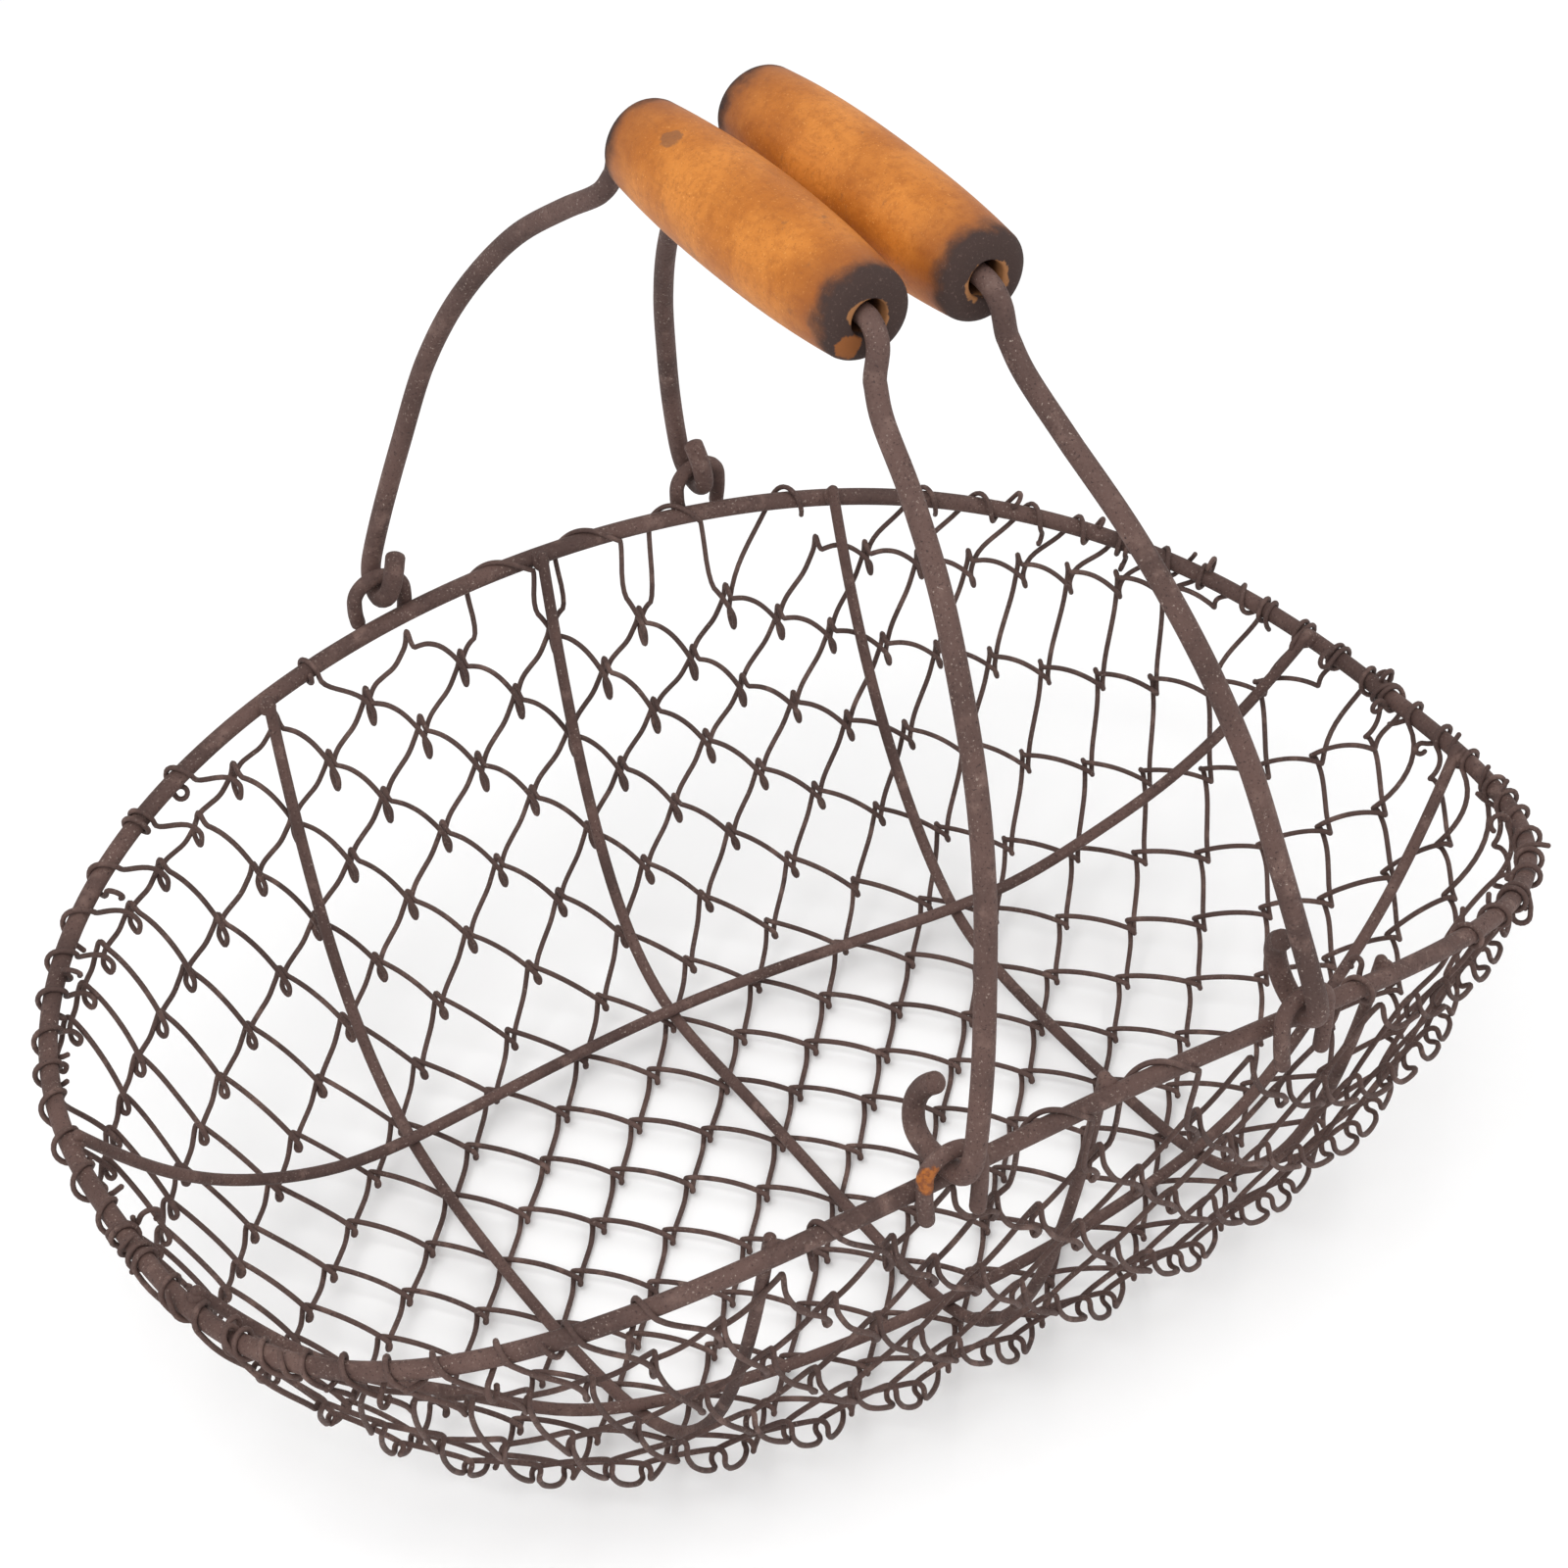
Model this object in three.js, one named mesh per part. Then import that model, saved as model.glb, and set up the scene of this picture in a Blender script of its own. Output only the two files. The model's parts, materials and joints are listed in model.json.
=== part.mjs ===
// Egg collection basket: an oval bowl of chain-link mesh on a wire frame, with two
// swinging bails that carry loose turned wooden grips.
//
// Frame: millimetres, +Z up, origin on the surface the basket stands on, under the
// middle of the rim. +X runs along the basket's long side, and each bail spans Y.
import * as THREE from 'three';
import { mergeVertices } from 'three/addons/utils/BufferGeometryUtils.js';

// Rim: a superellipse in plan, whose two ends hang lower than its long sides.
const RIM_HALF_LENGTH = 180;
const RIM_HALF_WIDTH = 123;
const RIM_ROUNDNESS = 2.7;
const RIM_END_DROP = 43;
const RIM_WIRE = 4.5;

// Bowl: a flat floor that turns up into a steep wall.
const BOWL_DEPTH = 117;
const FLOOR_SHARE = 0.25;
const WALL_POWER = 4;

// Frame ribs, all inside the mesh.
const RIB_WIRE = 3;
const CROSS_RIB_X = 82;
const LONG_RIB_MIDDLE_Y = 65;
const LONG_RIB_END_Y = 30;
const RIB_TIP = 4;

// Chain-link mesh: flattened spirals of wire that run along X and hook into each other.
const SPIRAL_COUNT = 28;
const SPIRAL_PITCH = 13.3;
const MESH_WIRE = 1.45;
const MESH_HALF_DEPTH = 1.4;
const HOOK_OVERLAP = 1.6;
const MESH_OUTSET = 1.3;
const WRAP_ADVANCE = 0.55;
const LEAD_SHARE = 0.8;
const RIB_CLEARANCE = 4.5;
const STAPLE_CLEARANCE = 10.5;

// Staples on the rim, and the bails that hook into them.
const STAPLE_X = { left: -43.5, right: 49.5 };
const STAPLE_WIRE = 3.8;
const STAPLE_HALF_WIDTH = 5.6;
const STAPLE_LEG = 5;
const BAIL_WIRE = 5;
const BAIL_HEIGHT = 159.5;
const HOOK_BEND = 4.6;
const HOOK_TIP_RISE = 16;
const LEG_RISE = 11;

// Wooden grips.
const GRIP_LENGTH = 90;
const GRIP_RADIUS = 12.9;
const GRIP_END_RADIUS = 8.6;
const GRIP_HOLE_RADIUS = 4.3;
const GRIP_SHOULDER_RADIUS = 11.2;
const GRIP_BEVEL = 0.6;
const GRIP_AXIS_X = { left: -10.8, right: 18 };
const GRIP_SLIDE = -2;

const GAP = 0.35;

// How many sides a wire's section has, and how far a mitre may stretch it.
const MESH_WIRE_SIDES = 4;
const RIB_WIRE_SIDES = 6;
const FRAME_WIRE_SIDES = 8;
const SHARPEST_MITRE = 0.5;
const SEAM_TOLERANCE = 0.01;
const UP = new THREE.Vector3(0, 0, 1);

// The flat side of the mesh wire's square section lies this far from its middle.
const MESH_WIRE_FLAT = (MESH_WIRE / 2) * Math.cos(Math.PI / 4);
const FLOOR_Z = MESH_OUTSET + MESH_HALF_DEPTH + MESH_WIRE_FLAT;
const RIM_Z = FLOOR_Z + BOWL_DEPTH;

// ---------------------------------------------------------------- surfaces

// How far out a point is in plan: 0 in the middle, 1 under the rim.
function planRadius(x, y) {
  const along = Math.abs(x / RIM_HALF_LENGTH) ** RIM_ROUNDNESS;
  const across = Math.abs(y / RIM_HALF_WIDTH) ** RIM_ROUNDNESS;
  return (along + across) ** (1 / RIM_ROUNDNESS);
}

function rimHeight(x) {
  return RIM_Z - RIM_END_DROP * (x / RIM_HALF_LENGTH) ** 2;
}

// Height of the bowl: flat in the middle, rising as a power of the plan radius.
function bowlHeight(x, y) {
  const share = Math.max(0, (planRadius(x, y) - FLOOR_SHARE) / (1 - FLOOR_SHARE));
  return FLOOR_Z + (rimHeight(x) - FLOOR_Z) * share ** WALL_POWER;
}

// Unit normal of the bowl, pointing in and up.
function bowlNormal(x, y) {
  const step = 0.01;
  const slopeX = (bowlHeight(x + step, y) - bowlHeight(x - step, y)) / (2 * step);
  const slopeY = (bowlHeight(x, y + step) - bowlHeight(x, y - step)) / (2 * step);
  return new THREE.Vector3(-slopeX, -slopeY, 1).normalize();
}

// A point of the bowl, moved inwards along its normal.
function bowlPoint(x, y, inwards) {
  return new THREE.Vector3(x, y, bowlHeight(x, y)).addScaledVector(bowlNormal(x, y), inwards);
}

// Half the basket's width at a given x, on the rim's centre line.
function rimHalfWidth(x) {
  const along = Math.min(1, Math.abs(x / RIM_HALF_LENGTH)) ** RIM_ROUNDNESS;
  return RIM_HALF_WIDTH * (1 - along) ** (1 / RIM_ROUNDNESS);
}

function rimPoint(angle) {
  const power = 2 / RIM_ROUNDNESS;
  const cos = Math.cos(angle);
  const sin = Math.sin(angle);
  const x = RIM_HALF_LENGTH * Math.sign(cos) * Math.abs(cos) ** power;
  const y = RIM_HALF_WIDTH * Math.sign(sin) * Math.abs(sin) ** power;
  return new THREE.Vector3(x, y, rimHeight(x));
}

// The coordinate reached by walking a distance over a height profile that starts at 0.
function walk(distance, heightAt) {
  const step = 0.25;
  let place = 0;
  let left = Math.abs(distance);
  while (left > 0) {
    const length = Math.hypot(step, heightAt(place + step) - heightAt(place));
    const share = Math.min(1, left / length);
    place += step * share;
    left -= length;
  }
  return Math.sign(distance) * place;
}

// ------------------------------------------------------------------- wires

// A bent wire with a mitred section at each of the given points. Its section has equal
// sides, one of which faces the normal given for the point or is a whole number of
// sides away from it, whichever twists the wire least on its way from the last point.
class BentWire extends THREE.Curve {
  constructor(points, normals, sides) {
    super();
    this.points = points;
    this.normals = normals;
    this.sides = sides;
  }

  getSpacedPoints() {
    return this.points;
  }

  // The given normal, laid square to the wire and turned by whole sides of the section
  // until it lies nearest to the normal before it, as seen along the piece between them.
  squareNormal(i, tangent, heading, lastNormal) {
    const given = this.normals[i].clone().projectOnPlane(tangent).normalize();
    given.applyAxisAngle(tangent, Math.PI / this.sides);
    let best = given;
    let bestMatch = -Infinity;
    for (let side = 0; lastNormal && side < this.sides; side += 1) {
      const turned = given.clone().applyAxisAngle(tangent, (2 * Math.PI * side) / this.sides);
      const seen = turned.clone().projectOnPlane(heading).normalize();
      const match = seen.dot(lastNormal.clone().projectOnPlane(heading).normalize());
      if (match > bestMatch) {
        best = turned;
        bestMatch = match;
      }
    }
    return best;
  }

  computeFrenetFrames() {
    const last = this.points.length - 1;
    const frames = { tangents: [], normals: [], binormals: [] };
    let lastNormal = null;
    this.points.forEach((point, i) => {
      const before = point.clone().sub(this.points[Math.max(i - 1, 0)]).normalize();
      const after = this.points[Math.min(i + 1, last)].clone().sub(point).normalize();
      const tangent = before.clone().add(after).normalize();
      const normal = this.squareNormal(i, tangent, before, lastNormal);
      const binormal = tangent.clone().cross(normal);
      const ahead = i < last ? after : before;
      const bend = ahead.clone().projectOnPlane(tangent);
      const straightness = Math.max(ahead.dot(tangent), SHARPEST_MITRE);
      const stretch = (direction) => direction.clone().addScaledVector(
        bend,
        direction.dot(bend) / (straightness * (1 + straightness)),
      );
      frames.tangents.push(tangent);
      frames.normals.push(stretch(normal));
      frames.binormals.push(stretch(binormal));
      lastNormal = normal;
    });
    return frames;
  }
}

function wireSection(radius, sides) {
  const section = new THREE.Shape();
  for (let i = 0; i < sides; i += 1) {
    const angle = (2 * Math.PI * i) / sides;
    const x = radius * Math.cos(angle);
    const y = radius * Math.sin(angle);
    if (i === 0) section.moveTo(x, y);
    else section.lineTo(x, y);
  }
  section.closePath();
  return section;
}

// A round wire along a smooth curve.
function wireAlong(curve, diameter, sides, steps) {
  return new THREE.ExtrudeGeometry(wireSection(diameter / 2, sides), {
    steps,
    curveSegments: 1,
    bevelEnabled: false,
    extrudePath: curve,
  });
}

// A wire bent through the given points, with a mitre at each.
function bentWire(points, normals, diameter, sides) {
  return wireAlong(new BentWire(points, normals, sides), diameter, sides, points.length - 1);
}

// ------------------------------------------------------------------- frame

// The hoop's path closes on itself, so only the swept side is kept, without end caps.
function rimHoop() {
  const count = 72;
  const points = [];
  for (let i = 0; i < count; i += 1) points.push(rimPoint((2 * Math.PI * i) / count));
  const hoop = new THREE.CatmullRomCurve3(points, true);
  const swept = wireAlong(hoop, RIM_WIRE, FRAME_WIRE_SIDES, count);
  const side = swept.groups[1];
  const position = swept.getAttribute('position').array;
  const kept = position.slice(side.start * 3, (side.start + side.count) * 3);
  const geometry = new THREE.BufferGeometry();
  geometry.setAttribute('position', new THREE.BufferAttribute(kept, 3));
  return mergeVertices(geometry, SEAM_TOLERANCE);
}

const RIB_INSET = (RIM_WIRE + RIB_WIRE) / 2 + GAP;

// Adds the straight tips that stand a little above the rim at both ends of a rib.
function withTips(points) {
  const first = points[0].clone().sub(points[1]).setLength(RIB_TIP).add(points[0]);
  const end = points.length - 1;
  const last = points[end].clone().sub(points[end - 1]).setLength(RIB_TIP).add(points[end]);
  return [first, ...points, last];
}

function crossRib(x) {
  const points = [];
  const count = 30;
  for (let i = 0; i <= count; i += 1) {
    const across = Math.sin((Math.PI / 2) * ((2 * i) / count - 1));
    points.push(bowlPoint(x, rimHalfWidth(x) * across, RIB_INSET));
  }
  return wireAlong(new THREE.CatmullRomCurve3(withTips(points)), RIB_WIRE, RIB_WIRE_SIDES, 40);
}

// A long rib bows outwards in plan and lies on top of the three cross ribs.
function longRibY(x, side) {
  const bow = (LONG_RIB_MIDDLE_Y - LONG_RIB_END_Y) * (x / RIM_HALF_LENGTH) ** 2;
  return side * (LONG_RIB_MIDDLE_Y - bow);
}

function longRibReach() {
  let reach = RIM_HALF_LENGTH;
  while (planRadius(reach, longRibY(reach, 1)) > 1) reach -= 0.01;
  return reach;
}

function longRib(side) {
  const reach = longRibReach();
  const points = [];
  const count = 36;
  for (let i = 0; i <= count; i += 1) {
    const along = Math.sin((Math.PI / 2) * ((2 * i) / count - 1));
    const x = reach * along;
    const lift = (RIB_WIRE + 2 * GAP) * (1 - along ** 8);
    points.push(bowlPoint(x, longRibY(x, side), RIB_INSET + lift));
  }
  return wireAlong(new THREE.CatmullRomCurve3(withTips(points)), RIB_WIRE, RIB_WIRE_SIDES, 46);
}

const STAPLE_Y = rimHalfWidth(STAPLE_X.left) + (RIM_WIRE + STAPLE_WIRE) / 2 + 2 * GAP;

function pivotHeight(end) {
  return rimHeight(STAPLE_X[end]) + (RIM_WIRE + BAIL_WIRE) / 2 + 1.5 * GAP;
}

// A half-round arch around the bail's pivot, with two legs beside the rim.
function staple(side, end) {
  const middle = STAPLE_X[end];
  const y = side * STAPLE_Y;
  const foot = rimHeight(middle) - STAPLE_LEG;
  const pivotZ = pivotHeight(end);
  const points = [];
  for (let i = 0; i <= 2; i += 1) {
    const z = foot + ((pivotZ - foot) * i) / 3;
    points.push(new THREE.Vector3(middle - STAPLE_HALF_WIDTH, y, z));
  }
  for (let i = 0; i <= 10; i += 1) {
    const angle = Math.PI * (1 - i / 10);
    const x = middle + STAPLE_HALF_WIDTH * Math.cos(angle);
    points.push(new THREE.Vector3(x, y, pivotZ + STAPLE_HALF_WIDTH * Math.sin(angle)));
  }
  for (let i = 2; i >= 0; i -= 1) {
    const z = foot + ((pivotZ - foot) * i) / 3;
    points.push(new THREE.Vector3(middle + STAPLE_HALF_WIDTH, y, z));
  }
  const normals = points.map(() => new THREE.Vector3(0, 1, 0));
  return bentWire(points, normals, STAPLE_WIRE, FRAME_WIRE_SIDES);
}

// ------------------------------------------------------------ bails and grips

const LEG_Y = STAPLE_Y + (STAPLE_WIRE + BAIL_WIRE) / 2 + 2 * GAP;
const HOOK_TIP_Y = 112;
const NECK_Y = 51.5;
const NECK_BEND = 6;

// One half of a bail in its own plane, from the hook's tip to the middle of the grip:
// distance across the basket, and height above the pivot.
function halfBail() {
  const points = [[HOOK_TIP_Y, HOOK_TIP_RISE]];
  const arc = (centreY, centreHeight, radius, from, to, count) => {
    for (let i = 0; i <= count; i += 1) {
      const angle = from + ((to - from) * i) / count;
      points.push([centreY + radius * Math.cos(angle), centreHeight + radius * Math.sin(angle)]);
    }
  };
  arc(HOOK_TIP_Y + HOOK_BEND, HOOK_BEND, HOOK_BEND, Math.PI, 1.5 * Math.PI, 3);
  arc(LEG_Y - HOOK_BEND, HOOK_BEND, HOOK_BEND, -0.5 * Math.PI, 0, 4);
  points.push([LEG_Y, LEG_RISE]);
  const shoulder = [
    [LEG_Y, LEG_RISE], [129, 27], [124.5, 45], [118.5, 66], [110, 85], [99, 102],
    [86, 117.5], [70.5, 130.5], [56, 140.5], [NECK_Y, 148],
  ].map(([y, height]) => new THREE.Vector2(y, height));
  const curve = new THREE.SplineCurve(shoulder);
  curve.getSpacedPoints(13).slice(1).forEach((point) => points.push([point.x, point.y]));
  arc(NECK_Y - NECK_BEND, BAIL_HEIGHT - NECK_BEND, NECK_BEND, 0, 0.5 * Math.PI, 3);
  return points;
}

// How far a bail is turned about its pivot so that its grip's axis reaches its place.
function bailLean(end) {
  return Math.asin((GRIP_AXIS_X[end] - STAPLE_X[end]) / BAIL_HEIGHT);
}

function bail() {
  const half = halfBail();
  const mirrored = half.map(([y, height]) => [-y, height]).reverse();
  const points = [...half, ...mirrored].map(([y, height]) => new THREE.Vector3(0, y, height));
  const normals = points.map(() => new THREE.Vector3(1, 0, 0));
  return bentWire(points, normals, BAIL_WIRE, FRAME_WIRE_SIDES);
}

// A barrel with flat ends and a round hole, turned about its long axis.
function grip() {
  const half = GRIP_LENGTH / 2;
  const profile = [
    new THREE.Vector2(GRIP_HOLE_RADIUS, -half),
    new THREE.Vector2(GRIP_END_RADIUS - GRIP_BEVEL, -half),
  ];
  const count = 10;
  for (let i = 0; i <= count; i += 1) {
    const along = Math.sin((Math.PI / 2) * ((2 * i) / count - 1));
    const bulge = GRIP_RADIUS - (GRIP_RADIUS - GRIP_SHOULDER_RADIUS) * along ** 2;
    const rounding = (GRIP_SHOULDER_RADIUS - GRIP_END_RADIUS) * Math.abs(along) ** 20;
    profile.push(new THREE.Vector2(bulge - rounding, (half - GRIP_BEVEL) * along));
  }
  profile.push(new THREE.Vector2(GRIP_END_RADIUS - GRIP_BEVEL, half));
  profile.push(new THREE.Vector2(GRIP_HOLE_RADIUS, half));
  profile.push(profile[0].clone());
  return new THREE.LatheGeometry(profile, 20);
}

// -------------------------------------------------------------------- mesh

const WRAP_RADIUS = (RIM_WIRE / 2 + MESH_WIRE / 2 + 1.5 * GAP) / Math.cos(Math.PI / 6);

// Places along the rim that a wire end must keep clear of, with the clearance of each.
function rimObstacles() {
  const obstacles = [];
  for (const side of [-1, 1]) {
    for (const x of [-CROSS_RIB_X, 0, CROSS_RIB_X]) {
      const rib = new THREE.Vector3(x, side * rimHalfWidth(x), rimHeight(x));
      obstacles.push({ at: rib, clearance: RIB_CLEARANCE });
    }
    for (const reach of [-longRibReach(), longRibReach()]) {
      const rib = new THREE.Vector3(reach, longRibY(reach, side), rimHeight(reach));
      obstacles.push({ at: rib, clearance: RIB_CLEARANCE });
    }
    for (const x of Object.values(STAPLE_X)) {
      const eye = new THREE.Vector3(x, side * rimHalfWidth(x), rimHeight(x));
      obstacles.push({ at: eye, clearance: STAPLE_CLEARANCE });
    }
  }
  return obstacles;
}

const OBSTACLES = rimObstacles();

// The free place on the rim nearest to a point, as an angle in plan.
function rimPlace(near) {
  let best = 0;
  let bestDistance = Infinity;
  const count = 1440;
  for (let i = 0; i < count; i += 1) {
    const angle = (2 * Math.PI * i) / count;
    const point = rimPoint(angle);
    const free = OBSTACLES.every(({ at, clearance }) => at.distanceTo(point) > clearance);
    const distance = point.distanceTo(near);
    if (free && distance < bestDistance) {
      best = angle;
      bestDistance = distance;
    }
  }
  return best;
}

// The wire's end goes up on one side of the rim, over its top and down the other side.
function rimWrap(from, heading, face) {
  const ahead = new THREE.Vector3(heading * SPIRAL_PITCH * LEAD_SHARE, 0, 0);
  const angle = rimPlace(from.clone().add(ahead));
  const centre = rimPoint(angle);
  const tangent = rimPoint(angle + 0.001).sub(rimPoint(angle - 0.001)).normalize();
  const out = tangent.clone().cross(UP).normalize();
  const up = out.clone().cross(tangent).normalize();
  const advance = Math.sign(tangent.x) * heading * WRAP_ADVANCE;
  const turn = [];
  for (let i = 0; i < 4; i += 1) {
    const around = (Math.PI / 3) * (i - 0.5);
    const point = centre.clone().addScaledVector(tangent, advance * (i - 1.5));
    point.addScaledVector(out, face * WRAP_RADIUS * Math.cos(around));
    point.addScaledVector(up, WRAP_RADIUS * Math.sin(around));
    turn.push({ point, normal: tangent });
  }
  return turn;
}

// A point of the mesh by its distances over the bowl along and across the basket.
function meshPlace(along, across) {
  const x = walk(along, (place) => bowlHeight(place, 0));
  const y = walk(across, (place) => bowlHeight(x, place));
  return { x, y };
}

function isInside(place) {
  const rim = rimHeight(place.x) - bowlHeight(place.x, place.y);
  return planRadius(place.x, place.y) < 1 && rim > 4;
}

// The corners of one spiral, in order along the basket, as far as the bowl holds them.
// Both end corners point away from the nearer long side of the rim, so that the wire
// leaves them towards the rim.
function spiralCorners(row) {
  const middle = (row - (SPIRAL_COUNT - 1) / 2) * SPIRAL_PITCH;
  const cornerAt = (index) => {
    const side = (index + row) % 2 === 0 ? 1 : -1;
    const across = middle + side * (SPIRAL_PITCH / 2 + HOOK_OVERLAP);
    return { ...meshPlace(index * SPIRAL_PITCH, across), side };
  };
  const run = (direction) => {
    const found = [];
    let index = direction > 0 ? 0 : -1;
    while (isInside(cornerAt(index))) {
      found.push(cornerAt(index));
      index += direction;
    }
    while (found[found.length - 1].side === Math.sign(middle)) found.pop();
    return found;
  };
  return [...run(-1).reverse(), ...run(1)];
}

// A spiral changes face at each corner: its rising stretches run on the outer face of
// the mesh, and its falling stretches on the inner face.
function meshSpiral(row) {
  const stretches = [];
  const corners = spiralCorners(row);
  corners.forEach(({ x, y, side }) => {
    [side, -side].forEach((face) => {
      const point = bowlPoint(x, y, -MESH_OUTSET - face * MESH_HALF_DEPTH);
      stretches.push({ point, normal: bowlNormal(x, y) });
    });
  });
  const end = stretches.length - 1;
  const startWrap = rimWrap(stretches[0].point, -1, corners[0].side).reverse();
  const endWrap = rimWrap(stretches[end].point, 1, -corners[corners.length - 1].side);
  const route = [...startWrap, ...stretches, ...endWrap];
  const points = route.map((stop) => stop.point);
  const normals = route.map((stop) => stop.normal);
  return bentWire(points, normals, MESH_WIRE, MESH_WIRE_SIDES);
}

// ---------------------------------------------------------------- assembly

function ironMaterial() {
  return new THREE.MeshStandardMaterial({ color: 0x5e4b46, roughness: 0.75, metalness: 0.4 });
}

function woodMaterial() {
  return new THREE.MeshStandardMaterial({ color: 0xcd8232, roughness: 0.6, metalness: 0 });
}

function named(name, geometry, material) {
  const mesh = new THREE.Mesh(geometry, material);
  mesh.name = name;
  return mesh;
}

const basket = new THREE.Group();
basket.add(named('rim_hoop', rimHoop(), ironMaterial()));
basket.add(named('cross_rib_left', crossRib(-CROSS_RIB_X), ironMaterial()));
basket.add(named('cross_rib_middle', crossRib(0), ironMaterial()));
basket.add(named('cross_rib_right', crossRib(CROSS_RIB_X), ironMaterial()));
basket.add(named('long_rib_front', longRib(-1), ironMaterial()));
basket.add(named('long_rib_back', longRib(1), ironMaterial()));
for (let row = 0; row < SPIRAL_COUNT; row += 1) {
  const number = String(row + 1).padStart(2, '0');
  basket.add(named(`mesh_spiral_${number}`, meshSpiral(row), ironMaterial()));
}
for (const end of ['left', 'right']) {
  for (const [sideName, side] of [['front', -1], ['back', 1]]) {
    basket.add(named(`staple_${end}_${sideName}`, staple(side, end), ironMaterial()));
  }
  const swing = new THREE.Group();
  swing.position.set(STAPLE_X[end], 0, pivotHeight(end));
  swing.rotation.y = bailLean(end);
  swing.add(named(`${end}_bail`, bail(), ironMaterial()));
  const woodenGrip = named(`${end}_grip`, grip(), woodMaterial());
  woodenGrip.position.set(0, GRIP_SLIDE, BAIL_HEIGHT);
  swing.add(woodenGrip);
  basket.add(swing);
}

export default basket;
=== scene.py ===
import json
import math

import bpy
import numpy as np
from mathutils import Matrix, Vector


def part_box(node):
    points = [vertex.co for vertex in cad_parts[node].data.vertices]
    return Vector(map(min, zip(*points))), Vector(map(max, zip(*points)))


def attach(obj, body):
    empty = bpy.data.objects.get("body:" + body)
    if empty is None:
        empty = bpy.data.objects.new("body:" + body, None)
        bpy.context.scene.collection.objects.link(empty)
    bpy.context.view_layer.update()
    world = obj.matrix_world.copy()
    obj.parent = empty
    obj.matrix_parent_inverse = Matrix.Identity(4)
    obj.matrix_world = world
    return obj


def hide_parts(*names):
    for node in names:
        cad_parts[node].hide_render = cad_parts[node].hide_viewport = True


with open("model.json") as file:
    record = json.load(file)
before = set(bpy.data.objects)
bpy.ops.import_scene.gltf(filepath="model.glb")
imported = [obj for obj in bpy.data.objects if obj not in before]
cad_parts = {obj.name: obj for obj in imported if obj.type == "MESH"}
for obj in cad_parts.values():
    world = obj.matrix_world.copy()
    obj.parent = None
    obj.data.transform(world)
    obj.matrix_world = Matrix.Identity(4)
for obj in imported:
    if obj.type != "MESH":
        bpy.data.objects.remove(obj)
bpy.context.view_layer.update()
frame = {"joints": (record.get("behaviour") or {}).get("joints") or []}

# Lengths are in metres: +X along the basket, +Y across it to the back, +Z up.

# Rim: a superellipse in plan, whose ends hang lower than its long sides.
RIM_ROUNDNESS = 2.7
RIM_END_DROP = 0.043
RIM_RADIUS = 0.00225

# Bowl: a flat floor that turns up into a steep wall.
FLOOR_Z = 0.0032
BOWL_DEPTH = 0.117
FLOOR_SHARE = 0.25
WALL_POWER = 4

# Frame ribs and their welds.
RIB_RADIUS = 0.0015
CROSS_RIB_X = 0.082
LONG_RIB_MIDDLE_Y = 0.065
LONG_RIB_END_Y = 0.030
RIB_TIP = 0.0015

# Chain-link mesh.
SPIRAL_COUNT = 28
SPIRAL_PITCH = 0.0133
MESH_RADIUS = 0.00068
WRAP_GAP = 0.00005
WRAP_START = math.radians(-25)
WRAP_TIP_TURN = 0.16
THREAD_FROM = math.radians(-35)
THREAD_TO = math.radians(215)
THREAD_REACH = 0.024
MESH_OUTSET = 0.0003
MESH_HALF_DEPTH = 0.0016
WALL_OUTSET = 0.0036
WALL_HALF_DEPTH = 0.0030
HOOK_OVERLAP = 0.0017
FALLING_BOW = 0.0011
RISING_BOW = 0.0004
LEAD_SHARE = 0.8
RIB_CLEARANCE = 0.0040
STAPLE_CLEARANCE = 0.0095

# Staples and bails.
STAPLE_RADIUS = 0.0019
STAPLE_HALF_WIDTH = 0.0066
STAPLE_RISE = 0.0058
STAPLE_LEG = 0.0062
BAIL_RADIUS = 0.0025
BAIL_END_SHARE = 0.45
BAIL_WAVE = 0.0011
NECK_Y = 0.0515
NECK_BEND = 0.0065

# Grips.
GRIP_RADIUS = 0.0129
GRIP_SHOULDER_RADIUS = 0.0108
GRIP_HOLE_RADIUS = 0.0043
GRIP_EDGE = 0.0034

UP = np.array([0.0, 0.0, 1.0])


# ---------------------------------------------------------------- small helpers


def unit(vectors):
    """Vectors divided by their lengths, along the last axis."""
    return vectors / np.maximum(np.linalg.norm(vectors, axis=-1, keepdims=True), 1e-12)


def node_box(name):
    """A CAD node's lowest and highest corner as arrays."""
    low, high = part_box(name)
    return np.array(low), np.array(high)


rim_low, rim_high = node_box("rim_hoop")
RIM_HALF_LENGTH = (rim_high[0] - rim_low[0]) / 2 - RIM_RADIUS
RIM_HALF_WIDTH = (rim_high[1] - rim_low[1]) / 2 - RIM_RADIUS
RIM_Z = FLOOR_Z + BOWL_DEPTH


# --------------------------------------------------------------------- surfaces


def plan_radius(x, y):
    """How far out points are in plan: 0 in the middle, 1 under the rim."""
    along = np.abs(x / RIM_HALF_LENGTH) ** RIM_ROUNDNESS
    across = np.abs(y / RIM_HALF_WIDTH) ** RIM_ROUNDNESS
    return (along + across) ** (1 / RIM_ROUNDNESS)


def rim_height(x):
    """The rim sinks with the square of the distance from the middle."""
    return RIM_Z - RIM_END_DROP * (x / RIM_HALF_LENGTH) ** 2


def bowl_height(x, y):
    """Flat in the middle, then rising to the rim as a power of the plan radius."""
    share = np.maximum(0, (plan_radius(x, y) - FLOOR_SHARE) / (1 - FLOOR_SHARE))
    return FLOOR_Z + (rim_height(x) - FLOOR_Z) * share**WALL_POWER


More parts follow.
